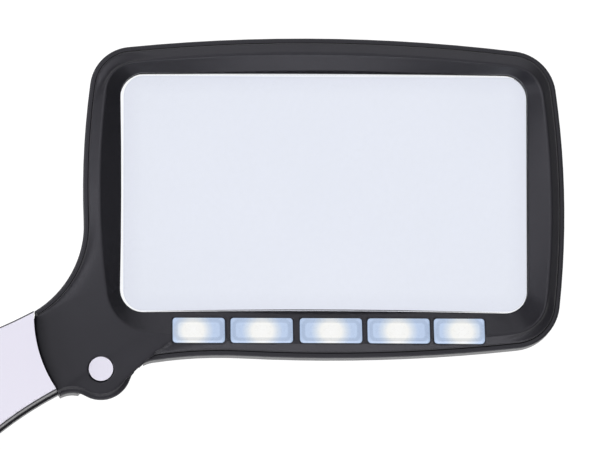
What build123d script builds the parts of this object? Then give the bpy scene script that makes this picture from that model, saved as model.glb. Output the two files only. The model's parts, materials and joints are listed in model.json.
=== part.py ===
from build123d import *

import math
import os

# Lighted rectangular hand magnifier with a folding handle, in millimetres.
# The head lies flat: +X along the lens, +Y across it, +Z towards the lamp side. The model is drawn
# about the middle of the lens opening and moved at the end to the middle of its own footprint.

# Heights above the table, from the user side (0) up to the lamp side.
RIM_TOP = 9.6
SPLIT = 5.5
FACE_EDGE = 10.4
CREASE_TOP = 12.2
LIP_TOP = 8.0
CAVITY_FLOOR = 2.8
CAVITY_ROOF = 7.4
PLAY = 0.1
EDGE_TOP = 0.55
EDGE_BOTTOM = 1.4
THROUGH = 30.0

# Lens: a clear plate with a thin flange, held between the two bezels.
LENS_SIZE = (109.8, 64.8)
LENS_WAIST = (0.4, 0.6)
LENS_CORNER = 6.2
LENS_PLAY = 0.25
FLANGE = 1.6
FLANGE_SEAT = 1.3
REAR_FLARE = 3.2
REAR_FLARE_TOP = 3.0
FLANGE_LOW = 4.6
FLANGE_TOP = 6.6
LENS_RADIUS = 520.0
LENS_HALF = 4.5

# Insets from the outer outline of the head.
RIM_WIDTH = 1.2
FACE_INSET = 1.35
CAVITY_INSET = 2.9
CAVITY_CORNERS = (9.0, 9.0, 9.0, 9.0)
HEAD_CORNERS = (11.5, 12.5, 12.5)
CREASE_CORNERS = (8.5, 9.5, 9.5, 12.5)
RIDGE_CORNERS = (12.2, 8.2, 9.2, 9.2)
CREASE_INSETS = (4.2, 4.3, 3.7, 3.8)
RIDGE_INSETS = tuple(inset + 0.3 for inset in CREASE_INSETS)

# Folding pivot and the neck around it.
PIVOT = (-59.9, -47.9)
DISC_R = 3.25
DISC_TOP = 11.2
KNUCKLE_R = 7.0
REAR_LOBE_R = 7.2
REAR_LOBE_TOP = 3.4
NECK_UNDERSIDE = 8.4
SPIGOT_R = 2.7
SPIGOT_LOW = 2.3
WIRE_BORE_R = 1.7
RUNNING_FIT = 0.06
KNUCKLE_GAP = 0.3
TONGUE_GAP = 0.2
BEARING_FLOOR = 1.2
SLOT_REACH = 40.0
LIP_MARGIN = 0.6
TONGUE_TURNS = (141.5, 227.0)
HEEL_TURNS = (141.2, 227.0)
SLOT_START = 139.0
SLOT_END = 365.0
SWING_R = 11.6
SWING_END = 387.0
SEAM_GAP = 0.2

# Lamp bar: windows, board and lamps.
WINDOWS = [(-33.7, 13.9), (-16.8, 16.6), (1.8, 16.6), (20.0, 16.6), (36.3, 13.5)]
LAMP_X = [-35.2, -16.7, 1.8, 19.7, 37.0]
LAMP_Y = -37.6
LAMP_SIZE = (3.5, 2.8, 1.6)
CUP_R = 1.15
CUP_DEPTH = 0.3
RESISTOR_X = [-26.0, -7.5, 10.8, 28.4]
RESISTOR_SIZE = (2.0, 1.25, 0.5)
WINDOW_LOW = -40.75
WINDOW_HIGH = -33.9
WINDOW_CORNER = 0.8
WINDOW_EDGE = 0.45
WINDOW_LEDGE = 0.9
WINDOW_FIT = 0.05
WINDOW_SEAT = 8.2
WINDOW_PROUD = 0.35
BEVEL_WIDTH = 9.0
BOARD_Z = 3.4
BOARD_T = 1.0
BOARD_LENGTH = 90.0
BOARD_LOW = -39.7
BOARD_HIGH = -35.5

# Handle, drawn along its own X axis from the pivot.
HANDLE_ANGLE = 207.4
HANDLE_MID = -11.0
HANDLE_HALF = 17.9
HANDLE_END = 122.0
SWELL_START = 12.0
SWELL_END = 62.0
NECK_LOW = -22.3
NECK_HIGH = 0.6
HANDLE_SPLIT = 7.0
SHELL_STEP = 0.6
SHELL_EDGE = 0.9
WALL = 1.6
ROOF_WALL = 1.4
REAR_EDGE = 2.2
DOOR_START = 59.0
DOOR_GAP = 0.25
GRIP_START = 100.0
GRIP_PITCH = 3.0
GRIP_WIDTH = 1.2
CELL_R = 5.25
CELL_LENGTH = 44.5
CELL_PITCH = 10.6
CELL_EDGE = 0.5
BUTTON_R = 1.9
BUTTON_LENGTH = 0.8
CELL_START = 62.0
CONTACT_T = 0.4
CONTACT_HALF = 3.5
CONTACT_BUMP_R = 2.2
SPRING_WIRE_R = 0.3
SPRING_R = 2.6
CROWN = [(0, 10.7), (22, 12.2), (62, 15.0), (96, 15.0), (130, 12.6)]
HOLLOW_TOP = 12.9
HOLLOW_STEP_X = 50.0
HOLLOW_STEP_Z = 10.2
TONGUE_LOW = REAR_LOBE_TOP + TONGUE_GAP
TONGUE_T = NECK_UNDERSIDE - TONGUE_GAP - TONGUE_LOW
INNER_CONTACT = 59.4
OUTER_CONTACT = 108.9
CELL_Z = 7.5
SWITCH_X = 38.0

# Self-tapping screws and the bosses they run in.
SCREW_R = 0.8
SCREW_HEAD_R = 1.9
SCREW_HEAD_T = 1.4
SCREW_SINK = 0.1
RECESS_LENGTH = 2.4
RECESS_WIDTH = 0.5
RECESS_DEPTH = 0.7
SCREW_CLEAR_R = 1.1
SCREW_BORE_R = 2.0
SCREW_BORE_DEPTH = 1.5
HEAD_BOSS_R = 2.1
HEAD_SCREW_LENGTH = 8.0
HEAD_PILOT = 3.2
HANDLE_BOSS_R = 2.3
HANDLE_SCREW_LENGTH = 9.0
HANDLE_PILOT = 4.2

WIRE_R = 0.45
WIRE_BEND = 0.5
WIRE_CHANNEL = 3.2
WIRE_SIDE = 0.6
WIRE_TURNS = [(14.0, -6.5), (21.0, -9.5)]

HANDLE_COS = math.cos(math.radians(HANDLE_ANGLE))
HANDLE_SIN = math.sin(math.radians(HANDLE_ANGLE))
HANDLE_PLANE = Plane(origin=(*PIVOT, 0), x_dir=(HANDLE_COS, HANDLE_SIN, 0), z_dir=(0, 0, 1))
HANDLE_SIDE = Plane(origin=(*PIVOT, 0), x_dir=(HANDLE_COS, HANDLE_SIN, 0), z_dir=(-HANDLE_SIN, HANDLE_COS, 0))
PIVOT_PLANE = Plane(origin=(*PIVOT, 0))


# ---- Outline of the head and neck: a closed chain of arcs ----


def meet(first, second, near):
    """The point nearest to near where two circles (x, y, r) cross."""
    ax, ay, ar = first
    bx, by, br = second
    gap = math.dist((ax, ay), (bx, by))
    along = (ar**2 - br**2 + gap**2) / (2 * gap)
    aside = math.sqrt(ar**2 - along**2)
    ux, uy = (bx - ax) / gap, (by - ay) / gap
    options = [(ax + along * ux - s * aside * uy, ay + along * uy + s * aside * ux) for s in (1, -1)]
    return min(options, key=lambda point: math.dist(point, near))


def corner(first, second, radius, near):
    """The circle of a rounded corner that touches two large circles from inside."""
    shrunk = [(x, y, r - radius) for x, y, r in (first, second)]
    return (*meet(*shrunk, near), radius)


LEFT = (145.2, 1.7, 210.0)
TOP = (-3.6, -432.2, 474.0)
RIGHT = (-175.2, -5.0, 240.0)
BOTTOM = (0.4, 425.3, 470.0)
TOP_LEFT = corner(LEFT, TOP, HEAD_CORNERS[0], (-52, 28))
TOP_RIGHT = corner(TOP, RIGHT, HEAD_CORNERS[1], (50, 26))
BOTTOM_RIGHT = corner(RIGHT, BOTTOM, HEAD_CORNERS[2], (50, -28))
HIP_X = -27.5
HIP_R = 120.0
HIP = (HIP_X, BOTTOM[1] - math.sqrt((BOTTOM[2] + HIP_R) ** 2 - (HIP_X - BOTTOM[0]) ** 2), HIP_R)
LOBE = (*PIVOT, 8.3)
FOOT_R = 7.7
FOOT = (*meet((HIP[0], HIP[1], HIP[2] - FOOT_R), (*PIVOT, LOBE[2] + FOOT_R), (-45, -53)), FOOT_R)
HEEL = (-67.4, -61.0, math.dist(PIVOT, (-67.4, -61.0)) - LOBE[2])
SEAM = (-42.75, -34.0, 35.0)
NECK = (-91.97, -8.93, 27.4)

# Each arc of the outline with how its radius changes as the outline moves inwards.
CHAIN = [
    (LEFT, -1),
    (TOP_LEFT, -1),
    (TOP, -1),
    (TOP_RIGHT, -1),
    (RIGHT, -1),
    (BOTTOM_RIGHT, -1),
    (BOTTOM, -1),
    (HIP, 1),
    (FOOT, 1),
    (LOBE, -1),
    (HEEL, 1),
    (SEAM, 0),
    (NECK, 1),
]


def joint_point(first, second):
    """Where two neighbouring arcs meet: their touching point, or their crossing at the seam."""
    if SEAM[:2] in (first[:2], second[:2]):
        other = second if first[:2] == SEAM[:2] else first
        return meet(first, second, (-71, -55) if other[:2] == HEEL[:2] else (-78, -32))
    large, small = (first, second) if first[2] > second[2] else (second, first)
    gap = math.dist(large[:2], small[:2])
    return tuple(large[i] + (small[i] - large[i]) / gap * large[2] for i in (0, 1))


def arc_middle(circle, start, end):
    """The point half-way along the arc of a circle between two of its points."""
    mx, my = (start[0] + end[0]) / 2 - circle[0], (start[1] + end[1]) / 2 - circle[1]
    size = math.hypot(mx, my)
    return (circle[0] + mx / size * circle[2], circle[1] + my / size * circle[2])


def draw_chain(circles):
    """Draws the arcs of a closed chain of circles in the current line builder."""
    count = len(circles)
    points = [joint_point(circles[i - 1], circles[i]) for i in range(count)]
    for i, circle in enumerate(circles):
        start, end = points[i], points[(i + 1) % count]
        ThreePointArc(start, arc_middle(circle, start, end), end)


def outline(height, inset):
    """The outline of head and neck, moved inwards, as a face at a height."""
    with BuildSketch(Plane.XY.offset(height)) as sketch:
        with BuildLine():
            draw_chain([(x, y, r + change * inset) for (x, y, r), change in CHAIN])
        make_face()
    return sketch.sketch


def head_corners(insets):
    """The four large circles of the head, moved inwards, and the four points where they cross."""
    sides = [(x, y, r - inset) for (x, y, r), inset in zip((LEFT, TOP, RIGHT, BOTTOM), insets)]
    near = [(-62, -40), (-62, 38), (61, 37), (62, -40)]
    return sides, [meet(sides[i - 1], sides[i], near[i]) for i in range(4)]


def head_quad(height, insets, radii):
    """The bowed rectangle of the head alone, with rounded corners, as a face at a height."""
    sides, points = head_corners(insets)
    with BuildSketch(Plane.XY.offset(height)) as sketch:
        with BuildLine():
            for i, side in enumerate(sides):
                start, end = points[i], points[(i + 1) % 4]
                ThreePointArc(start, arc_middle(side, start, end), end)
        make_face()
        for point, radius in zip(points, radii):
            fillet(sketch.vertices().sort_by_distance((*point, height))[0], radius)
    return sketch.sketch


def opening(height, grow):
    """The lens opening, slightly waisted at its lower and left sides, as a face at a height."""
    x, y = LENS_SIZE[0] / 2 + grow, LENS_SIZE[1] / 2 + grow
    with BuildSketch(Plane.XY.offset(height)) as sketch:
        with BuildLine():
            ThreePointArc((-x, -y), (LENS_WAIST[0] - x, 0), (-x, y))
            Line((-x, y), (x, y))
            Line((x, y), (x, -y))
            ThreePointArc((x, -y), (0, LENS_WAIST[1] - y), (-x, -y))
        make_face()
        fillet(sketch.vertices(), LENS_CORNER + grow)
    return sketch.sketch


def sector(height, start, end, outer, inner=0.0):
    """A wedge around the pivot between two directions in degrees, as a face at a height."""
    steps = 8
    with BuildSketch(PIVOT_PLANE.offset(height)) as sketch:
        with BuildLine():
            turns = [math.radians(start + (end - start) * i / steps) for i in range(steps + 1)]
            reach = outer / math.cos(math.radians((end - start) / steps / 2))
            rim = [(reach * math.cos(turn), reach * math.sin(turn)) for turn in turns]
            Polyline((0, 0), *rim, close=True)
        make_face()
        Circle(outer, mode=Mode.INTERSECT)
        if inner:
            Circle(inner, mode=Mode.SUBTRACT)
    return sketch.sketch


def crease_face(height):
    """The ridge line, cut into as many arcs as the outline so that the two can be joined."""
    sides, points = head_corners(CREASE_INSETS)
    left, top, right, bottom = sides
    pairs = [(left, top), (top, right), (right, bottom), (bottom, left)]
    near = [points[1], points[2], points[3], points[0]]
    rounds = [corner(*pairs[i], CREASE_CORNERS[i], near[i]) for i in range(4)]
    last = rounds[3]
    foot_start = joint_point(bottom, last)
    foot_end = joint_point(left, last)
    hip_start = meet(bottom, (-15, bottom[1] - bottom[2], 1.0), (-16, -40))
    first_turn = math.atan2(foot_start[1] - last[1], foot_start[0] - last[0]) % (2 * math.pi)
    last_turn = math.atan2(foot_end[1] - last[1], foot_end[0] - last[0]) % (2 * math.pi)
    turns = [first_turn + (last_turn - first_turn) * i / 5 for i in range(6)]
    bend = [(last[0] + last[2] * math.cos(turn), last[1] + last[2] * math.sin(turn)) for turn in turns]
    circles = [left, rounds[0], top, rounds[1], right, rounds[2], bottom, bottom] + [last] * 5
    ends = [joint_point(circles[i], circles[i + 1]) for i in range(6)] + [hip_start] + bend
    with BuildSketch(Plane.XY.offset(height)) as sketch:
        with BuildLine():
            for i, circle in enumerate(circles):
                ThreePointArc(ends[i - 1], arc_middle(circle, ends[i - 1], ends[i]), ends[i])
        make_face()
    return sketch.sketch


def window_face(height, x, width, shrink):
    """One rounded lamp window, as a face at a height."""
    middle = (WINDOW_LOW + WINDOW_HIGH) / 2
    with BuildSketch(Plane.XY.offset(height)) as sketch:
        with Locations((x, middle)):
            RectangleRounded(width - 2 * shrink, WINDOW_HIGH - WINDOW_LOW - 2 * shrink, WINDOW_CORNER)
    return sketch.sketch


# ---- Helpers that work on the current part ----


def pegs(plane, spots, radius, amount, mode=Mode.ADD):
    """Round posts or holes at several spots of a plane, for the current part."""
    with BuildSketch(plane) as base:
        with Locations(*spots):
            Circle(radius)
    return extrude(base.sketch, amount=amount, mode=mode)


def pivot_disc(height, radius, amount, mode=Mode.ADD):
    """A round post or hole about the pivot, for the current part."""
    return pegs(PIVOT_PLANE.offset(height), [(0, 0)], radius, amount, mode)


def local_box(x0, x1, y0, y1, z0, z1, mode=Mode.ADD):
    """A block between two corners in the handle's own frame, for the current part."""
    with BuildSketch(HANDLE_PLANE.offset(z0)) as base:
        with Locations(((x0 + x1) / 2, (y0 + y1) / 2)):
            Rectangle(x1 - x0, y1 - y0)
    return extrude(base.sketch, amount=z1 - z0, mode=mode)


def make_screws(plane, spots, length):
    """Pan-head screws with crossed recesses, driven in from just inside a face."""
    level = plane.offset(SCREW_SINK)
    with BuildPart() as screws:
        pegs(level, spots, SCREW_HEAD_R, SCREW_HEAD_T)
        pegs(level, spots, SCREW_R, length)
        with BuildSketch(level) as recess:
            with Locations(*spots):
                Rectangle(RECESS_LENGTH, RECESS_WIDTH)
                Rectangle(RECESS_WIDTH, RECESS_LENGTH)
        extrude(recess.sketch, amount=RECESS_DEPTH, mode=Mode.SUBTRACT)
    return screws.part


# ---- Head ----

HEAD_SCREWS = [(-57.9, 31.5), (0.0, 36.9), (57.6, 31.0), (58.4, -33.5), (-58.0, -31.5)]
BOARD_POSTS = [(-27.0, LAMP_Y), (28.5, LAMP_Y)]
CHANNEL = [PIVOT, (-51.0, -40.0), (-44.0, -37.4)]

with BuildPart() as rim:
    extrude(outline(0, 0), amount=RIM_TOP)
    fillet(rim.edges().group_by(Axis.Z)[-1], EDGE_TOP)
    fillet(rim.edges().group_by(Axis.Z)[0], EDGE_BOTTOM)

with BuildPart() as rear_bezel:
    add(rim.part)
    extrude(outline(SPLIT, RIM_WIDTH), amount=RIM_TOP - SPLIT, mode=Mode.SUBTRACT)
    extrude(head_quad(CAVITY_FLOOR, [CAVITY_INSET] * 4, CAVITY_CORNERS), amount=RIM_TOP, mode=Mode.SUBTRACT)
    extrude(opening(0, FLANGE + FLANGE_SEAT), amount=SPLIT)
    extrude(opening(FLANGE_LOW, FLANGE + PLAY), amount=RIM_TOP, mode=Mode.SUBTRACT)
    extrude(opening(0, 0), amount=RIM_TOP, mode=Mode.SUBTRACT)
    loft([opening(0, REAR_FLARE).face(), opening(REAR_FLARE_TOP, 0).face()], mode=Mode.SUBTRACT)
    pegs(Plane.XY.offset(CAVITY_FLOOR - 0.5), HEAD_SCREWS, HEAD_BOSS_R, SPLIT - CAVITY_FLOOR + 0.5)
    with BuildSketch(Plane.XY.offset(CAVITY_FLOOR - 0.5)):
        with Locations(*BOARD_POSTS):
            Rectangle(3, 3)
    extrude(amount=BOARD_Z - CAVITY_FLOOR + 0.5)
    # The handle swings through here, so only a thin lobe is left under the pivot.
    extrude(sector(REAR_LOBE_TOP, SLOT_START, SLOT_END, SLOT_REACH), amount=RIM_TOP, mode=Mode.SUBTRACT)
    extrude(sector(0, SLOT_START, SLOT_END, SLOT_REACH, REAR_LOBE_R), amount=RIM_TOP, mode=Mode.SUBTRACT)
    extrude(sector(0, SLOT_END, SWING_END, SWING_R, REAR_LOBE_R), amount=RIM_TOP, mode=Mode.SUBTRACT)
    pivot_disc(REAR_LOBE_TOP, KNUCKLE_R + KNUCKLE_GAP, RIM_TOP, Mode.SUBTRACT)
    pivot_disc(BEARING_FLOOR, SPIGOT_R + RUNNING_FIT, RIM_TOP, Mode.SUBTRACT)
    # Channel for the lamp wires, from the pivot into the lamp bar.
    with BuildSketch(Plane.XY.offset(BEARING_FLOOR)):
        with BuildLine():
            Polyline(*CHANNEL)
        trace(line_width=WIRE_CHANNEL)
    extrude(amount=SPLIT, mode=Mode.SUBTRACT)
    pegs(Plane.XY, HEAD_SCREWS, SCREW_CLEAR_R, RIM_TOP, Mode.SUBTRACT)
    pegs(Plane.XY, HEAD_SCREWS, SCREW_BORE_R, SCREW_BORE_DEPTH, Mode.SUBTRACT)

with BuildPart() as front_bezel:
    extrude(outline(SPLIT + PLAY, FACE_INSET), amount=FACE_EDGE - SPLIT - PLAY)
    loft([outline(FACE_EDGE, FACE_INSET).face(), crease_face(CREASE_TOP).face()], ruled=True)
    with BuildPart(mode=Mode.PRIVATE) as lip:
        add(rim.part)
        lip_turns = (SLOT_START + LIP_MARGIN, SLOT_END - LIP_MARGIN)
        extrude(sector(NECK_UNDERSIDE, *lip_turns, SLOT_REACH), amount=RIM_TOP, mode=Mode.INTERSECT)
    add(lip.part)
    loft([head_quad(CREASE_TOP, RIDGE_INSETS, RIDGE_CORNERS).face(), opening(LIP_TOP, 0).face()],
         ruled=True, mode=Mode.SUBTRACT)
    extrude(opening(0, 0), amount=CREASE_TOP, mode=Mode.SUBTRACT)
    with BuildPart(mode=Mode.PRIVATE) as cavity:
        extrude(head_quad(SPLIT, [CAVITY_INSET] * 4, CAVITY_CORNERS), amount=CAVITY_ROOF - SPLIT)
        extrude(opening(SPLIT, FLANGE + FLANGE_SEAT), amount=CAVITY_ROOF - SPLIT, mode=Mode.SUBTRACT)
        pegs(Plane.XY.offset(SPLIT), HEAD_SCREWS, HEAD_BOSS_R, CAVITY_ROOF - SPLIT, Mode.SUBTRACT)
    add(cavity.part, mode=Mode.SUBTRACT)
    extrude(opening(SPLIT, FLANGE + PLAY), amount=FLANGE_TOP - SPLIT, mode=Mode.SUBTRACT)
    extrude(sector(0, SLOT_START, SLOT_END, SLOT_REACH), amount=NECK_UNDERSIDE, mode=Mode.SUBTRACT)
    extrude(sector(0, SLOT_END, SWING_END, SWING_R), amount=NECK_UNDERSIDE, mode=Mode.SUBTRACT)
    pivot_disc(0, KNUCKLE_R + KNUCKLE_GAP, NECK_UNDERSIDE, Mode.SUBTRACT)
    pivot_disc(0, DISC_R + RUNNING_FIT, THROUGH, Mode.SUBTRACT)
    for x, width in WINDOWS:
        extrude(window_face(WINDOW_SEAT, x, width, -WINDOW_FIT), amount=THROUGH, mode=Mode.SUBTRACT)
        extrude(window_face(CAVITY_ROOF - 0.5, x, width, WINDOW_LEDGE), amount=THROUGH, mode=Mode.SUBTRACT)
    pegs(Plane.XY.offset(SPLIT), HEAD_SCREWS, SCREW_R, HEAD_PILOT, Mode.SUBTRACT)

with BuildPart() as lens:
    middle = (FLANGE_LOW + FLANGE_TOP) / 2
    with Locations((0, 0, middle + LENS_HALF - LENS_RADIUS)):
        Sphere(LENS_RADIUS)
    with Locations((0, 0, middle - LENS_HALF + LENS_RADIUS)):
        Sphere(LENS_RADIUS, mode=Mode.INTERSECT)
    extrude(opening(0, -LENS_PLAY), amount=THROUGH, mode=Mode.INTERSECT)
    extrude(opening(FLANGE_LOW, FLANGE), amount=FLANGE_TOP - FLANGE_LOW)


def make_window(x, width):
    """One clear lamp window: its top leans like the bevel around it and has softened edges."""
    slope = (CREASE_TOP - LIP_TOP) / BEVEL_WIDTH
    rise = math.hypot(1, slope) * WINDOW_PROUD
    high = LENS_WAIST[1] - LENS_SIZE[1] / 2
    low = high - BEVEL_WIDTH - RIM_WIDTH
    foot = LIP_TOP + rise + (high - low) * slope
    with BuildPart() as window:
        extrude(window_face(WINDOW_SEAT, x, width, 0), amount=RIM_TOP)
        with BuildSketch(Plane.YZ.offset(x - width)):
            with BuildLine():
                Polyline((low, foot), (high, LIP_TOP + rise), (high, THROUGH), (low, THROUGH), close=True)
            make_face()
        extrude(amount=2 * width, mode=Mode.SUBTRACT)
        chamfer(window.faces().sort_by(Axis.Z)[-1].edges(), WINDOW_EDGE)
    return window.part


with BuildPart() as led_board:
    with BuildSketch(Plane.XY.offset(BOARD_Z)):
        with Locations((0.5, (BOARD_LOW + BOARD_HIGH) / 2)):
            Rectangle(BOARD_LENGTH, BOARD_HIGH - BOARD_LOW)
        add(head_quad(0, [CAVITY_INSET + 0.3] * 4, CAVITY_CORNERS), mode=Mode.INTERSECT)
    extrude(amount=BOARD_T)


def make_lamp(x):
    """One surface-mounted lamp: a white body with a shallow round reflector cup."""
    with BuildPart() as lamp:
        with BuildSketch(Plane.XY.offset(BOARD_Z + BOARD_T)):
            with Locations((x, LAMP_Y)):
                Rectangle(*LAMP_SIZE[:2])
        extrude(amount=LAMP_SIZE[2])
        with BuildSketch(Plane.XY.offset(BOARD_Z + BOARD_T + LAMP_SIZE[2])):
            with Locations((x, LAMP_Y)):
                Circle(CUP_R)
        extrude(amount=-CUP_DEPTH, taper=30, mode=Mode.SUBTRACT)
    return lamp.part


with BuildPart() as board_resistors:
    with BuildSketch(Plane.XY.offset(BOARD_Z + BOARD_T)):
        with Locations(*[(x, LAMP_Y) for x in RESISTOR_X]):
            Rectangle(*RESISTOR_SIZE[:2])
    extrude(amount=RESISTOR_SIZE[2])

head_screws = make_screws(Plane.XY, HEAD_SCREWS, HEAD_SCREW_LENGTH)


# ---- Handle ----


def swell(start, end):
    """Two touching arcs that widen the handle between two points and run level at both."""
    middle = ((start[0] + end[0]) / 2, (start[1] + end[1]) / 2)
    first = TangentArc(start, middle, tangent=(end[0] - start[0], 0))
    TangentArc(middle, end, tangent=first % 1)


def handle_face(height, shrink):
    """The outline of the handle seen from the lamp side, as a face at a height."""
    low, high = HANDLE_MID - HANDLE_HALF, HANDLE_MID + HANDLE_HALF
    dome = HANDLE_END - HANDLE_HALF
    with BuildSketch(HANDLE_PLANE.offset(height)) as sketch:
        with BuildLine():
            Line((6, NECK_LOW), (SWELL_START, NECK_LOW))
            swell((SWELL_START, NECK_LOW), (SWELL_END, low))
            Line((SWELL_END, low), (dome, low))
            ThreePointArc((dome, low), (HANDLE_END, HANDLE_MID), (dome, high))
            Line((dome, high), (SWELL_END, high))
            swell((SWELL_END, high), (SWELL_START, NECK_HIGH))
            Polyline((SWELL_START, NECK_HIGH), (6, NECK_HIGH), (6, NECK_LOW))
        make_face()
        if shrink:
            offset(amount=-shrink, mode=Mode.REPLACE, kind=Kind.INTERSECTION)
    return sketch.sketch


def seam_face(height, gap):
    """Everything on the head's side of the seam arc, as a face at a height."""
    with BuildSketch(Plane((SEAM[0], SEAM[1], height))) as sketch:
        Circle(SEAM[2] + gap)
    return sketch.sketch


HANDLE_SCREWS = [(25.0, -19.0), (25.0, -2.6), (54.5, -24.0), (54.5, 2.0)]

with BuildPart() as handle_front_shell:
    extrude(handle_face(HANDLE_SPLIT, SHELL_STEP), amount=RIM_TOP)
    with BuildSketch(HANDLE_SIDE.offset(-SLOT_REACH)):
        with BuildLine():
            crown = Spline(*CROWN)
            Polyline(crown @ 1, (CROWN[-1][0], THROUGH), (CROWN[0][0], THROUGH), crown @ 0)
        make_face()
    extrude(amount=2 * SLOT_REACH, mode=Mode.SUBTRACT)
    extrude(seam_face(0, SEAM_GAP), amount=THROUGH, mode=Mode.SUBTRACT)
    crown_edges = handle_front_shell.faces().sort_by(Axis.Z)[-1].edges()
    seam_edge = crown_edges.sort_by_distance((*PIVOT, DISC_TOP))[0:1]
    fillet(crown_edges - seam_edge, SHELL_EDGE)
    with BuildPart(mode=Mode.PRIVATE) as hollow:
        extrude(handle_face(HANDLE_SPLIT - 1, SHELL_STEP + ROOF_WALL), amount=HOLLOW_TOP - HANDLE_SPLIT + 1)
        local_box(0, HOLLOW_STEP_X, -SLOT_REACH, SLOT_REACH, HOLLOW_STEP_Z, THROUGH, mode=Mode.SUBTRACT)
        extrude(seam_face(0, SEAM_GAP + WALL + 0.4), amount=THROUGH, mode=Mode.SUBTRACT)
        pegs(HANDLE_PLANE, HANDLE_SCREWS, HANDLE_BOSS_R, THROUGH, Mode.SUBTRACT)
    add(hollow.part, mode=Mode.SUBTRACT)
    # Tongue that reaches under the neck plate, and the pivot that turns in it.
    with BuildPart(mode=Mode.PRIVATE) as tongue:
        extrude(outline(TONGUE_LOW, RIM_WIDTH + 0.15), amount=TONGUE_T)
        extrude(sector(0, *TONGUE_TURNS, SLOT_REACH), amount=THROUGH, mode=Mode.INTERSECT)
    add(tongue.part)
    pivot_disc(TONGUE_LOW, KNUCKLE_R, TONGUE_T)
    with BuildPart(mode=Mode.PRIVATE) as root_block:
        extrude(handle_face(TONGUE_LOW, SHELL_STEP + WALL + PLAY), amount=TONGUE_T + 1)
        extrude(seam_face(0, -0.2), amount=THROUGH, mode=Mode.SUBTRACT)
        extrude(seam_face(0, SEAM_GAP + WALL + 0.4), amount=THROUGH, mode=Mode.INTERSECT)
        extrude(seam_face(NECK_UNDERSIDE - TONGUE_GAP, SEAM_GAP), amount=THROUGH, mode=Mode.SUBTRACT)
    add(root_block.part)
    pivot_disc(REAR_LOBE_TOP, DISC_R, DISC_TOP - REAR_LOBE_TOP)
    pivot_disc(SPIGOT_LOW, SPIGOT_R, REAR_LOBE_TOP)
    pivot_disc(SPIGOT_LOW, WIRE_BORE_R, 4.4, Mode.SUBTRACT)
    with BuildSketch(HANDLE_PLANE.offset(4.9)):
        with BuildLine():
            Polyline((0, 0), *WIRE_TURNS)
        trace(line_width=WIRE_CHANNEL)
    extrude(amount=1.8, mode=Mode.SUBTRACT)
    pegs(HANDLE_PLANE.offset(HANDLE_SPLIT - 0.5), HANDLE_SCREWS, SCREW_R, HANDLE_PILOT, Mode.SUBTRACT)


def rear_body():
    """The full dark shell of the handle, hollowed, before it is cut into shell and door."""
    with BuildPart(mode=Mode.PRIVATE) as body:
        extrude(handle_face(0, 0), amount=HANDLE_SPLIT)
        fillet(body.edges().group_by(Axis.Z)[0], REAR_EDGE)
        extrude(handle_face(WALL, WALL), amount=THROUGH, mode=Mode.SUBTRACT)
    return body.part


with BuildPart() as handle_rear_shell:
    add(rear_body())
    extrude(seam_face(0, SEAM_GAP), amount=THROUGH, mode=Mode.SUBTRACT)
    local_box(DOOR_START, HANDLE_END + 10, -60, 40, -1, THROUGH, mode=Mode.SUBTRACT)
    with BuildPart(mode=Mode.PRIVATE) as heel:
        extrude(outline(0, 0), amount=NECK_UNDERSIDE - TONGUE_GAP)
        extrude(outline(REAR_LOBE_TOP, RIM_WIDTH), amount=THROUGH, mode=Mode.SUBTRACT)
        extrude(sector(0, *HEEL_TURNS, SLOT_REACH, REAR_LOBE_R + 0.5), amount=THROUGH, mode=Mode.INTERSECT)
    add(heel.part)
    with BuildPart(mode=Mode.PRIVATE) as bridge:
        extrude(handle_face(0, 1.5), amount=REAR_LOBE_TOP)
        extrude(seam_face(0, SEAM_GAP + 2.4), amount=THROUGH, mode=Mode.INTERSECT)
        extrude(seam_face(0, -1.0), amount=THROUGH, mode=Mode.SUBTRACT)
    add(bridge.part)
    pegs(HANDLE_PLANE.offset(WALL - 0.5), HANDLE_SCREWS, HANDLE_BOSS_R, HANDLE_SPLIT - WALL + 0.5)
    pegs(HANDLE_PLANE, HANDLE_SCREWS, SCREW_CLEAR_R, HANDLE_SPLIT, Mode.SUBTRACT)
    pegs(HANDLE_PLANE, HANDLE_SCREWS, SCREW_BORE_R, SCREW_BORE_DEPTH, Mode.SUBTRACT)
    # Sunk slot for the switch knob.
    local_box(SWITCH_X - 8.5, SWITCH_X + 8.5, HANDLE_MID - 4.8, HANDLE_MID + 4.8, WALL, WALL + 1.6)
    local_box(SWITCH_X - 7, SWITCH_X + 7, HANDLE_MID - 3.4, HANDLE_MID + 3.4, 0, WALL, mode=Mode.SUBTRACT)
    local_box(SWITCH_X - 4.5, SWITCH_X + 4.5, HANDLE_MID - 1.6, HANDLE_MID + 1.6, 0, 5, mode=Mode.SUBTRACT)
    # Stop wall in front of the cells.
    local_box(DOOR_START - WALL, DOOR_START, -26.0, 4.0, 1.0, HANDLE_SPLIT)

with BuildPart() as battery_door:
    add(rear_body())
    local_box(-10, DOOR_START + DOOR_GAP, -60, 40, -1, THROUGH, mode=Mode.SUBTRACT)
    # Grip ribs sunk in the outside.
    for x in range(4):
        rib = GRIP_START + GRIP_PITCH * x
        local_box(rib, rib + GRIP_WIDTH, HANDLE_MID - 7, HANDLE_MID + 7, 0, 0.5, mode=Mode.SUBTRACT)


def cell_plane(x, row):
    """The plane across the handle at x, centred on one row of cells."""
    spot = HANDLE_PLANE.from_local_coords((x, HANDLE_MID + (row - 1) * CELL_PITCH, CELL_Z))
    return Plane(origin=spot, x_dir=(0, 0, 1), z_dir=(HANDLE_COS, HANDLE_SIN, 0))


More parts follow.
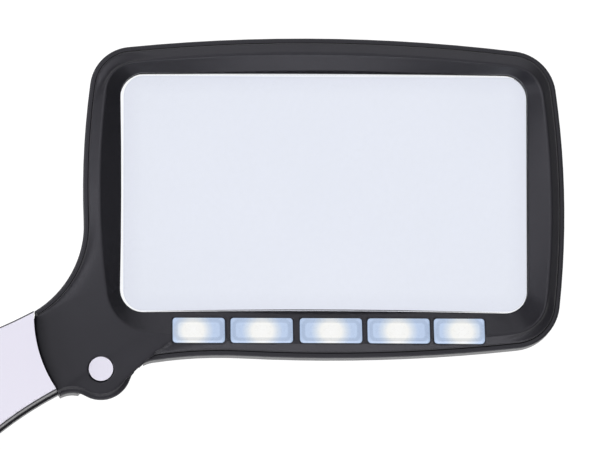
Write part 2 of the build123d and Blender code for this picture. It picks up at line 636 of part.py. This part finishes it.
def make_cell(row):
    """One AAA cell: can, insulator shoulder and the raised positive button."""
    flip = row == 1
    plane = cell_plane(CELL_START, row)
    with BuildPart() as cell:
        with BuildSketch(plane.offset(BUTTON_LENGTH if flip else 0)):
            Circle(CELL_R)
        extrude(amount=CELL_LENGTH - BUTTON_LENGTH)
        fillet(cell.edges().filter_by(GeomType.CIRCLE), CELL_EDGE)
        with BuildSketch(plane.offset(0 if flip else CELL_LENGTH - BUTTON_LENGTH - CELL_EDGE)):
            Circle(BUTTON_R)
        extrude(amount=BUTTON_LENGTH + CELL_EDGE)
    return cell.part


def make_contacts(x, spans, bumps, bump_length):
    """Contact plates across the handle, with a pressed bump for each cell's raised button."""
    with BuildPart() as plates:
        for y0, y1 in spans:
            low, high = HANDLE_MID + y0, HANDLE_MID + y1
            local_box(x, x + CONTACT_T, low, high, CELL_Z - CONTACT_HALF, CELL_Z + CONTACT_HALF)
        for row in bumps:
            with BuildSketch(cell_plane(x, row)) as bump:
                Circle(CONTACT_BUMP_R)
            extrude(bump.sketch, amount=bump_length)
    return plates.part


inner_spans = [(-14.6, 4.2), (6.4, 14.6)]
contact_plates_inner = make_contacts(INNER_CONTACT, inner_spans, [1], CELL_START - INNER_CONTACT)
cells_end = CELL_START + CELL_LENGTH
outer_spans = [(-14.2, -6.4), (-4.2, 14.2)]
contact_plates_outer = make_contacts(OUTER_CONTACT, outer_spans, [0, 2], cells_end - OUTER_CONTACT)


def make_spring(row):
    """A coil spring between a contact plate and the flat end of a cell."""
    inner = row != 1
    start = INNER_CONTACT + CONTACT_T if inner else cells_end
    length = CELL_START - start if inner else OUTER_CONTACT - start
    height = length - 2 * SPRING_WIRE_R
    plane = cell_plane(start + SPRING_WIRE_R, row)
    path = plane.location * Helix(pitch=height / 2, height=height, radius=SPRING_R)
    with BuildPart() as spring:
        with BuildSketch(Plane(origin=path @ 0, z_dir=path % 0)) as section:
            Circle(SPRING_WIRE_R)
        sweep(section.sketch, path=path)
    return spring.part


with BuildPart() as switch_board:
    local_box(SWITCH_X - 8, SWITCH_X + 12, HANDLE_MID - 7, HANDLE_MID + 7, 7.0, 8.2)

with BuildPart() as switch_body:
    local_box(SWITCH_X - 4.3, SWITCH_X + 4.3, HANDLE_MID - 1.8, HANDLE_MID + 1.8, 5.1, 7.0)

with BuildPart() as switch_knob:
    local_box(SWITCH_X - 5.8, SWITCH_X + 1.6, HANDLE_MID - 3.0, HANDLE_MID + 3.0, 0.3, 1.5)
    for x in range(4):
        local_box(SWITCH_X - 5.0 + 1.6 * x, SWITCH_X - 4.3 + 1.6 * x, HANDLE_MID - 3.0, HANDLE_MID + 3.0,
                  0.3, 0.6, mode=Mode.SUBTRACT)
    local_box(SWITCH_X - 3.1, SWITCH_X - 1.1, HANDLE_MID - 1.0, HANDLE_MID + 1.0, 1.5, 5.0)

handle_screws = make_screws(HANDLE_PLANE, HANDLE_SCREWS, HANDLE_SCREW_LENGTH)


# ---- Wires ----


def make_wire(points):
    """A round wire along straight runs joined by arcs."""
    with BuildPart() as wire:
        with BuildLine() as path:
            FilletPolyline(*points, radius=WIRE_BEND)
        with BuildSketch(Plane(origin=path.line @ 0, z_dir=path.line % 0)):
            Circle(WIRE_R)
        sweep()
    return wire.part


def head_wire(side):
    """One lamp wire, from the end of the lamp board to the pivot."""
    px, py = PIVOT
    return make_wire(
        [
            (px, py + side, 2.9),
            (px, py + side, 1.75),
            (-51.0, -40.2 + side, 1.75),
            (-47.2, -37.6 + side, 3.9),
            (-44.6, -37.2 + side, 3.9),
        ]
    )


def handle_wire(side):
    """One lamp wire, from the pivot to the switch board."""
    turns = [(x, y + side, 5.8) for x, y in WIRE_TURNS]
    spots = [(0, side, 3.0), (0, side, 5.8), *turns, (29.4, 2 * side - 9.5, 7.6)]
    return make_wire([HANDLE_PLANE.from_local_coords(spot) for spot in spots])


def battery_wire(side):
    """One wire from the switch board to the cells' contact plates."""
    start = (SWITCH_X + 12.0, HANDLE_MID + side * 3, 7.6)
    spots = [start, (SWITCH_X + 15.0, HANDLE_MID + side * 3, 7.6), (56.6, HANDLE_MID + side * 4, 8.6),
             (DOOR_START + 0.4, HANDLE_MID + side * 4, 8.6)]
    return make_wire([HANDLE_PLANE.from_local_coords(spot) for spot in spots])


# ---- Move to the middle of the footprint, label and write ----

pieces = {
    "front_bezel": front_bezel.part,
    "rear_bezel": rear_bezel.part,
    "lens": lens.part,
    "led_board": led_board.part,
    "board_resistors": board_resistors.part,
    "head_screws": head_screws,
    "head_wire_red": head_wire(WIRE_SIDE),
    "head_wire_black": head_wire(-WIRE_SIDE),
    "handle_front_shell": handle_front_shell.part,
    "handle_rear_shell": handle_rear_shell.part,
    "battery_door": battery_door.part,
    "contact_plates_inner": contact_plates_inner,
    "contact_plates_outer": contact_plates_outer,
    "switch_board": switch_board.part,
    "switch_body": switch_body.part,
    "switch_knob": switch_knob.part,
    "handle_screws": handle_screws,
    "handle_wire_red": handle_wire(WIRE_SIDE),
    "handle_wire_black": handle_wire(-WIRE_SIDE),
    "battery_wire_red": battery_wire(1),
    "battery_wire_black": battery_wire(-1),
}
for number, (x, width) in enumerate(WINDOWS, 1):
    pieces[f"led_window_{number}"] = make_window(x, width)
for number, x in enumerate(LAMP_X, 1):
    pieces[f"led_{number}"] = make_lamp(x)
for row in range(3):
    pieces[f"battery_{row + 1}"] = make_cell(row)
    pieces[f"battery_spring_{row + 1}"] = make_spring(row)

box = Compound(list(pieces.values())).bounding_box()
shift = Pos(-box.center().X, -box.center().Y, 0)
print("pivot", PIVOT[0] - box.center().X, PIVOT[1] - box.center().Y)
print("handle direction", HANDLE_COS, HANDLE_SIN)

os.makedirs("parts", exist_ok=True)
for name, piece in pieces.items():
    moved = shift * piece
    moved.label = name
    export_step(moved, f"parts/{name}.step")
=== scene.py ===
"""Looks of the lighted hand magnifier: materials, softened edges, studio light and camera."""

import json
import math

import bpy
from mathutils import Matrix, Vector

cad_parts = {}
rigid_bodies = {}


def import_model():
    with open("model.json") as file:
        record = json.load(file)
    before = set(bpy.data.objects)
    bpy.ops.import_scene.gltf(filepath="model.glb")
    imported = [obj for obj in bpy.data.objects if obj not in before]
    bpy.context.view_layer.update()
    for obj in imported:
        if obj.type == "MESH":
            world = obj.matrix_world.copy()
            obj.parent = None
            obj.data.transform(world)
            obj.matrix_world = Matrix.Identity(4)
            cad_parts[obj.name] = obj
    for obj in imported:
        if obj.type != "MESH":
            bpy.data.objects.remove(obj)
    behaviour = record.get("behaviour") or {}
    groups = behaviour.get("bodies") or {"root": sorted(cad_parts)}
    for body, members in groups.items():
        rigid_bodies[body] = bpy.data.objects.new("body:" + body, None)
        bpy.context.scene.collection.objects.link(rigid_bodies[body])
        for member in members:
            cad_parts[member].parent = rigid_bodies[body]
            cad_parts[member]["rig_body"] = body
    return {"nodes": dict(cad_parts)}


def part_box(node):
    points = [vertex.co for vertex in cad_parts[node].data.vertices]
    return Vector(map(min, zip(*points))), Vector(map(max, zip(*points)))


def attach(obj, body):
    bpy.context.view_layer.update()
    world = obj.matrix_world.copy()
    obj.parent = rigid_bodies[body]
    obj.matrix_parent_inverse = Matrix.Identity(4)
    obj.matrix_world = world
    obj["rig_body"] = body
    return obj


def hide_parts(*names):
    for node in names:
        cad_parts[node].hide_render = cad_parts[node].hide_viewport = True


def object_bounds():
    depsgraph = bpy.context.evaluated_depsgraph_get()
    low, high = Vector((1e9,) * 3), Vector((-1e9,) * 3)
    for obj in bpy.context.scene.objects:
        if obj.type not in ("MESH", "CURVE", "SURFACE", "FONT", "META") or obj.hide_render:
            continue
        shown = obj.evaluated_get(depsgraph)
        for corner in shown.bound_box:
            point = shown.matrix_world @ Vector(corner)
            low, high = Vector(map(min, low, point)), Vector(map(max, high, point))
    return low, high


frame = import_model()
cad_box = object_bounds()
nodes = frame["nodes"]
MM = 0.001

# Repeated pieces, counted from one.
LAMPS = range(1, 6)
CELLS = range(1, 4)

# Edges: the angle from which one stays crisp, and the fine copy of the front bezel.
CREASE = math.radians(28)
BEZEL_VOXEL = 0.3 * MM
BEZEL_EASE = 0.5
BEZEL_ROUNDS = 6

# Clear parts: the painted highlight and painted shade line along the lens edge, and the glow and corners of
# the lamp windows, whose painted frame lines follow the corners.
ACRYLIC_IOR = 1.49
LENS_PAINTED_RIM = 7.5 * MM
LENS_SLIP = Vector((0.3 * MM, 0, 0))
GLOW_REACH = 7.5 * MM
GLOW_SHAPE = (0.85, 0.88, 0.0)
WINDOW_CORNER = 2.2 * MM

# White handle shell: the dark of its rolled edge, and the upward share of the normal where white begins.
DARK_EDGE = (0.022, 0.021, 0.025)
WHITE_START = 0.80
WHITE_FULL = 0.86

# Sockets of a colour mix: its two colours and the mixed one.
COLOUR_INPUTS = (6, 7)
COLOUR_OUTPUT = 2

# Studio: the floor, the light, and the camera's distance, field of view, lean and aim from the lens.
FLOOR_SIZE = 12
FLOOR_DROP = 0.2 * MM
COOL_WHITE = (0.975, 0.965, 1.06)
ROOM_LIGHT = 0.12
CAMERA_DISTANCE = 2.0
FRAME_WIDTH = 0.1614
SENSOR_WIDTH = 36
TILT_DOWN = math.radians(6.0)
TILT_LEFT = math.radians(2.3)
AIM_FROM_LENS = Vector((-6.52 * MM, -8.72 * MM, 2.4 * MM))


# ---- Node helpers ----


def new_material(name):
    """A node material with one main shader, as the material, its tree and the shader."""
    material = bpy.data.materials.new(name)
    material.use_nodes = True
    tree = material.node_tree
    shader = next(n for n in tree.nodes if n.type == "BSDF_PRINCIPLED")
    return material, tree, shader


def place(tree):
    """Positions in metres in the object's own frame."""
    return tree.nodes.new("ShaderNodeTexCoord").outputs["Object"]


def noise(tree, per_metre, detail):
    """Noise at a scale given in cells per metre."""
    texture = tree.nodes.new("ShaderNodeTexNoise")
    texture.inputs["Scale"].default_value = per_metre
    texture.inputs["Detail"].default_value = detail
    tree.links.new(place(tree), texture.inputs["Vector"])
    return texture.outputs["Fac"]


def ramp(tree, source, low, high, start=0.3, end=0.7):
    """A colour between two colours as a value goes from start to end."""
    blend = tree.nodes.new("ShaderNodeValToRGB")
    first, last = blend.color_ramp.elements
    first.position, first.color = start, (*low, 1)
    last.position, last.color = end, (*high, 1)
    tree.links.new(source, blend.inputs["Fac"])
    return blend.outputs["Color"]


def span(tree, source, low, high, start=0.3, end=0.7):
    """A number between low and high as a value goes from start to end."""
    node = tree.nodes.new("ShaderNodeMapRange")
    node.inputs["From Min"].default_value = start
    node.inputs["From Max"].default_value = end
    node.inputs["To Min"].default_value = low
    node.inputs["To Max"].default_value = high
    tree.links.new(source, node.inputs["Value"])
    return node.outputs["Result"]


def bump(tree, shader, layers):
    """Stacks height layers, each (height source, depth in metres), on the shader's normal."""
    normal = None
    for height, depth in layers:
        node = tree.nodes.new("ShaderNodeBump")
        node.inputs["Distance"].default_value = depth
        tree.links.new(height, node.inputs["Height"])
        if normal:
            tree.links.new(normal, node.inputs["Normal"])
        normal = node.outputs["Normal"]
    tree.links.new(normal, shader.inputs["Normal"])


def vector_step(tree, operation, source, value=None):
    """One vector step on a socket, with a fixed second vector where the step takes one."""
    node = tree.nodes.new("ShaderNodeVectorMath")
    node.operation = operation
    tree.links.new(source, node.inputs[0])
    if value is not None:
        node.inputs[1].default_value = value
    return node.outputs["Value"] if operation == "LENGTH" else node.outputs["Vector"]


def rim_distance(tree, low, high, radius):
    """Distance inwards, up to the radius, from the edge of a rounded rectangle seen from above."""
    middle = (low + high) / 2
    core = (high - low) / 2 - Vector((radius, radius, 0))
    spot = vector_step(tree, "SUBTRACT", place(tree), middle)
    spot = vector_step(tree, "ABSOLUTE", spot)
    spot = vector_step(tree, "SUBTRACT", spot, core)
    spot = vector_step(tree, "MAXIMUM", spot, (0, 0, 0))
    beyond = vector_step(tree, "LENGTH", vector_step(tree, "MULTIPLY", spot, (1, 1, 0)))
    return span(tree, beyond, radius, 0.0, 0.0, radius)


def stops(tree, source, points):
    """A colour ramp through several (position, colour) points."""
    blend = tree.nodes.new("ShaderNodeValToRGB")
    ends = blend.color_ramp.elements
    for element, (spot, colour) in zip(ends, (points[0], points[-1])):
        element.position, element.color = spot, (*colour, 1)
    for spot, colour in points[1:-1]:
        ends.new(spot).color = (*colour, 1)
    tree.links.new(source, blend.inputs["Fac"])
    return blend.outputs["Color"]


def multiply(tree, first, second):
    """One colour times another."""
    mix = tree.nodes.new("ShaderNodeMix")
    mix.data_type = "RGBA"
    mix.blend_type = "MULTIPLY"
    mix.inputs["Factor"].default_value = 1.0
    first_socket, second_socket = (mix.inputs[i] for i in COLOUR_INPUTS)
    tree.links.new(first, first_socket)
    tree.links.new(second, second_socket)
    return mix.outputs[COLOUR_OUTPUT]


# ---- Materials ----


def black_plastic():
    """Satin black ABS with a fine spark-eroded texture."""
    material, tree, shader = new_material("black_plastic")
    grain = noise(tree, 2600, 2)
    flow = noise(tree, 45, 4)
    tone = ramp(tree, flow, (0.0155, 0.0150, 0.0185), (0.0200, 0.0195, 0.0235))
    tree.links.new(tone, shader.inputs["Base Color"])
    tree.links.new(span(tree, grain, 0.34, 0.46), shader.inputs["Roughness"])
    shader.inputs["Specular IOR Level"].default_value = 0.42
    bump(tree, shader, [(flow, 0.03 * MM), (grain, 0.014 * MM)])
    return material


def white_plastic(name, dark_sides=False):
    """Semi-gloss cool white ABS; on the handle its rolled edges and sides are the dark shell's colour."""
    material, tree, shader = new_material(name)
    grain = noise(tree, 3200, 2)
    flow = noise(tree, 30, 3)
    colour = ramp(tree, flow, (0.925, 0.908, 0.955), (0.945, 0.928, 0.975))
    if dark_sides:
        facing = tree.nodes.new("ShaderNodeSeparateXYZ")
        tree.links.new(tree.nodes.new("ShaderNodeNewGeometry").outputs["Normal"], facing.inputs[0])
        shade = ramp(tree, facing.outputs["Z"], DARK_EDGE, (1.0, 1.0, 1.0), WHITE_START, WHITE_FULL)
        colour = multiply(tree, colour, shade)
    tree.links.new(colour, shader.inputs["Base Color"])
    tree.links.new(span(tree, grain, 0.30, 0.38), shader.inputs["Roughness"])
    bump(tree, shader, [(flow, 0.02 * MM), (grain, 0.006 * MM)])
    return material


def lens_acrylic(low, high):
    """Clear acrylic with a cool tint, a touch deeper in a painted shade line just inside a painted
    highlight along its edge.
    """
    material, tree, shader = new_material("lens_acrylic")
    waves = noise(tree, 28, 2)
    tint = ramp(tree, waves, (0.738, 0.768, 0.840), (0.748, 0.776, 0.848))
    inward = rim_distance(tree, low + LENS_SLIP, high + LENS_SLIP, LENS_PAINTED_RIM)
    # Painted highlight along the lens edge, then a painted shade line just inside it, fading out inwards.
    painted_rim_light = stops(tree, span(tree, inward, 0.0, 1.0, 0.0, LENS_PAINTED_RIM), [
        (0.0, (1.30, 1.27, 1.17)),
        (0.27, (1.30, 1.27, 1.17)),
        (0.30, (0.92, 0.92, 0.94)),
        (0.36, (0.965, 0.965, 0.975)),
        (1.0, (1.0, 1.0, 1.0)),
    ])
    tree.links.new(multiply(tree, tint, painted_rim_light), shader.inputs["Base Color"])
    tree.links.new(span(tree, noise(tree, 300, 4), 0.02, 0.045), shader.inputs["Roughness"])
    shader.inputs["IOR"].default_value = ACRYLIC_IOR
    shader.inputs["Transmission Weight"].default_value = 1.0
    bump(tree, shader, [(waves, 0.02 * MM)])
    return material


def lamp_window(name, lamp, low, high):
    """Lightly frosted window, lit from behind: a warm core over the lamp, a cool body, and a pale frame
    with a painted shade line just inside it.
    """
    material, tree, shader = new_material(name)
    offset = vector_step(tree, "SUBTRACT", place(tree), lamp)
    reach = vector_step(tree, "LENGTH", vector_step(tree, "MULTIPLY", offset, GLOW_SHAPE))
    glow = stops(tree, span(tree, reach, 0.0, 1.0, 0.0, GLOW_REACH), [
        (0.0, (0.84, 0.82, 0.76)),
        (0.31, (0.80, 0.78, 0.71)),
        (0.47, (0.56, 0.61, 0.66)),
        (0.62, (0.41, 0.50, 0.65)),
        (1.0, (0.36, 0.45, 0.60)),
    ])
    inward = rim_distance(tree, low, high, WINDOW_CORNER)
    # Painted frame lines in the glow: a pale edge, then a painted shade line just inside it.
    painted_frame_shade = stops(tree, span(tree, inward, 0.0, 1.0, 0.0, WINDOW_CORNER), [
        (0.0, (1.0, 1.0, 1.0)),
        (0.15, (0.90, 0.90, 0.90)),
        (0.27, (0.74, 0.75, 0.76)),
        (0.55, (0.76, 0.77, 0.78)),
        (0.68, (0.96, 0.96, 0.96)),
        (1.0, (0.92, 0.92, 0.92)),
    ])
    tree.links.new(multiply(tree, glow, painted_frame_shade), shader.inputs["Emission Color"])
    shader.inputs["Emission Strength"].default_value = 1.05
    frost = noise(tree, 900, 4)
    tree.links.new(ramp(tree, frost, (0.11, 0.14, 0.19), (0.13, 0.16, 0.21)), shader.inputs["Base Color"])
    tree.links.new(span(tree, frost, 0.24, 0.34), shader.inputs["Roughness"])
    shader.inputs["IOR"].default_value = ACRYLIC_IOR
    shader.inputs["Transmission Weight"].default_value = 0.05
    bump(tree, shader, [(frost, 0.006 * MM)])
    return material


def small_part(name, low, high, rough, metallic=0.0):
    """A small part's material: its colour drifts between two tones over a fine grain."""
    material, tree, shader = new_material(name)
    grain = noise(tree, 1800, 3)
    tree.links.new(ramp(tree, noise(tree, 240, 4), low, high), shader.inputs["Base Color"])
    tree.links.new(span(tree, grain, rough - 0.05, rough + 0.08), shader.inputs["Roughness"])
    shader.inputs["Metallic"].default_value = metallic
    bump(tree, shader, [(grain, 0.01 * MM)])
    return material


def lamp_body():
    """White lamp body with a warm glow."""
    material, tree, shader = new_material("lamp_body")
    grain = noise(tree, 1500, 3)
    tree.links.new(ramp(tree, grain, (0.86, 0.84, 0.74), (0.92, 0.90, 0.82)), shader.inputs["Base Color"])
    tree.links.new(ramp(tree, grain, (1.0, 0.93, 0.78), (1.0, 0.96, 0.85)), shader.inputs["Emission Color"])
    shader.inputs["Emission Strength"].default_value = 1.6
    shader.inputs["Roughness"].default_value = 0.4
    return material


def dress(node, material):
    """Gives a piece one material in place of its own."""
    mesh = nodes[node].data
    mesh.materials.clear()
    mesh.materials.append(material)


steel = small_part("steel", (0.50, 0.50, 0.52), (0.62, 0.62, 0.64), 0.32, metallic=1.0)
nickel = small_part("nickel", (0.60, 0.58, 0.53), (0.72, 0.70, 0.65), 0.26, metallic=1.0)
board_white = small_part("board_white", (0.70, 0.70, 0.67), (0.80, 0.80, 0.77), 0.4)
board_green = small_part("board_green", (0.02, 0.16, 0.06), (0.03, 0.22, 0.08), 0.35)
resistor = small_part("resistor_black", (0.02, 0.02, 0.022), (0.05, 0.05, 0.052), 0.5)
wire_red = small_part("wire_red", (0.42, 0.015, 0.01), (0.55, 0.025, 0.018), 0.35)
wire_black = small_part("wire_black", (0.012, 0.012, 0.013), (0.03, 0.03, 0.032), 0.38)
cell_wrap = small_part("cell_wrap", (0.05, 0.06, 0.09), (0.08, 0.09, 0.13), 0.28)

FINISHES = {
    black_plastic(): ["front_bezel", "rear_bezel", "handle_rear_shell", "battery_door"],
    white_plastic("white_shell", dark_sides=True): ["handle_front_shell"],
    white_plastic("white_knob"): ["switch_knob"],
    lens_acrylic(*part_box("lens")): ["lens"],
    lamp_body(): [f"led_{i}" for i in LAMPS],
    steel: ["head_screws", "handle_screws", "switch_body"],
    nickel: ["contact_plates_inner", "contact_plates_outer"] + [f"battery_spring_{i}" for i in CELLS],
    board_white: ["led_board"],
    board_green: ["switch_board"],
    resistor: ["board_resistors"],
    wire_red: ["head_wire_red", "handle_wire_red", "battery_wire_red"],
    wire_black: ["head_wire_black", "handle_wire_black", "battery_wire_black"],
    cell_wrap: [f"battery_{i}" for i in CELLS],
}
for material, names in FINISHES.items():
    for name in names:
        dress(name, material)

for i in LAMPS:
    lamp_low, lamp_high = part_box(f"led_{i}")
    lamp = (lamp_low + lamp_high) / 2
    dress(f"led_window_{i}", lamp_window(f"window_{i}", lamp, *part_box(f"led_window_{i}")))


# ---- Smoothed surfaces ----


def smooth(node):
    """Shades a node's curved faces smoothly and keeps its real edges crisp."""
    piece = nodes[node]
    for face in piece.data.polygons:
        face.use_smooth = True
    split = piece.modifiers.new("edges", "EDGE_SPLIT")
    split.split_angle = CREASE


def remould(node, name):
    """A fine even copy of a black moulding with its edges eased, which takes the piece's place."""
    source = nodes[node]
    piece = bpy.data.objects.new(name, source.data.copy())
    bpy.context.scene.collection.objects.link(piece)
    remesh = piece.modifiers.new("remesh", "REMESH")
    remesh.mode = "VOXEL"
    remesh.voxel_size = BEZEL_VOXEL
    ease = piece.modifiers.new("ease", "SMOOTH")
    ease.factor = BEZEL_EASE
    ease.iterations = BEZEL_ROUNDS
    graph = bpy.context.evaluated_depsgraph_get()
    final = bpy.data.meshes.new_from_object(piece.evaluated_get(graph))
    piece.modifiers.clear()
    piece.data = final
    for face in final.polygons:
        face.use_smooth = True
    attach(piece, source["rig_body"])
    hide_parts(node)


for name in sorted(nodes):
    if name != "front_bezel":
        smooth(name)
remould("front_bezel", "front_bezel_moulding")


# ---- Studio ----

centre = (cad_box[0] + cad_box[1]) / 2
lens_low, lens_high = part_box("lens")
lens_middle = (lens_low + lens_high) / 2


def floor_material():
    """Plain white floor, evenly lit through, with a trace of tooth."""
    material, tree, shader = new_material("paper")
    tooth = noise(tree, 700, 4)
    tree.links.new(ramp(tree, tooth, (0.14, 0.14, 0.14), (0.16, 0.16, 0.16)), shader.inputs["Base Color"])
    shader.inputs["Emission Color"].default_value = (1, 1, 1, 1)
    shader.inputs["Emission Strength"].default_value = 1.0
    shader.inputs["Roughness"].default_value = 0.9
    shader.inputs["Specular IOR Level"].default_value = 0.1
    bump(tree, shader, [(tooth, 0.02 * MM)])
    return material


bpy.ops.mesh.primitive_plane_add(size=FLOOR_SIZE, location=(centre.x, centre.y, -FLOOR_DROP))
floor = bpy.context.object
floor.name = "floor"
floor.data.materials.append(floor_material())


def softbox(name, spot, size, power):
    """A rectangular light at a spot, in metres from the lens, aimed at the lens."""
    data = bpy.data.lights.new(name, "AREA")
    data.shape = "RECTANGLE"
    data.size, data.size_y = size
    data.energy = power
    data.color = COOL_WHITE
    lamp = bpy.data.objects.new(name, data)
    bpy.context.scene.collection.objects.link(lamp)
    lamp.location = lens_middle + Vector(spot)
    lamp.rotation_mode = "QUATERNION"
    lamp.rotation_quaternion = Vector(spot).to_track_quat("Z", "Y")


softbox("overhead", (-0.3, 0.35, 2.6), (3.4, 3.4), 31)
softbox("upper_left", (-1.25, 0.8, 2.0), (0.9, 0.9), 7)
softbox("key_left", (-1.25, -0.3, 0.65), (0.8, 0.7), 7.5)
softbox("front_low", (0.1, -1.3, 0.6), (1.3, 0.6), 7.5)
softbox("back_low", (0.2, 1.3, 0.6), (1.3, 0.6), 4)

world = bpy.data.worlds.new("studio")
world.use_nodes = True
world.node_tree.nodes["Background"].inputs["Color"].default_value = (1.0, 1.0, 1.0, 1)
world.node_tree.nodes["Background"].inputs["Strength"].default_value = ROOM_LIGHT
bpy.context.scene.world = world
bpy.context.scene.view_settings.view_transform = "Standard"
bpy.context.scene.view_settings.look = "None"

# Camera: square on to the lens but for a lean towards the lamp bar and the handle.
data = bpy.data.cameras.new("camera")
data.sensor_width = SENSOR_WIDTH
data.lens = SENSOR_WIDTH * CAMERA_DISTANCE / FRAME_WIDTH
data.clip_start, data.clip_end = 0.01, 20
camera = bpy.data.objects.new("camera", data)
bpy.context.scene.collection.objects.link(camera)
back = Vector((-math.sin(TILT_LEFT), -math.sin(TILT_DOWN), math.cos(TILT_DOWN))).normalized()
camera.location = lens_middle + AIM_FROM_LENS + back * CAMERA_DISTANCE
camera.rotation_mode = "QUATERNION"
side = Vector((0, 1, 0)).cross(back).normalized()
up = back.cross(side)
camera.rotation_quaternion = Matrix((side, up, back)).transposed().to_quaternion()
bpy.context.scene.camera = camera
